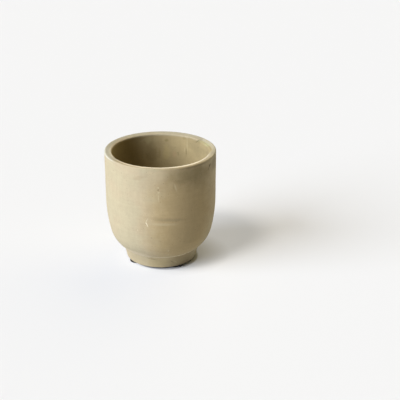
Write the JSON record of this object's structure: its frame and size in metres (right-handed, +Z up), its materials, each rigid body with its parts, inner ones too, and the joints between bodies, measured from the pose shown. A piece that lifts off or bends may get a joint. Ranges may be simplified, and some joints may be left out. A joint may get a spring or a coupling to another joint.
{
  "type": "flower pot",
  "caption": "Round footed flower pot with a thick cast wall, a straight upper bowl that turns in below, stick-on pads under the foot and a rubber plug in its drain hole.",
  "frame": {"origin": "on the floor under the centre of the pot, in the plane of the pads' undersides", "axes": "+Z up along the pot's round axis, -Y towards the viewer of the picture, +X to the viewer's right"},
  "size_m": [0.2, 0.2, 0.208],
  "materials": {
    "cast_cement": "matte, chalky, unsealed, with small cast pits",
    "pad_rubber": "matte black",
    "plug_rubber": "matte dark grey"
  },
  "bodies": {
    "pot": {"pot_body": "cast_cement", "foot_pad_front_left": "pad_rubber", "foot_pad_front_right": "pad_rubber", "foot_pad_back_right": "pad_rubber", "foot_pad_back_left": "pad_rubber"},
    "plug": {"drain_plug": "plug_rubber"}
  },
  "joints": [
    {"name": "plug_lift", "type": "slide", "parent": "pot", "child": "plug", "axis": [0, 0, 1], "range_m": [0, 0.21]}
  ]
}
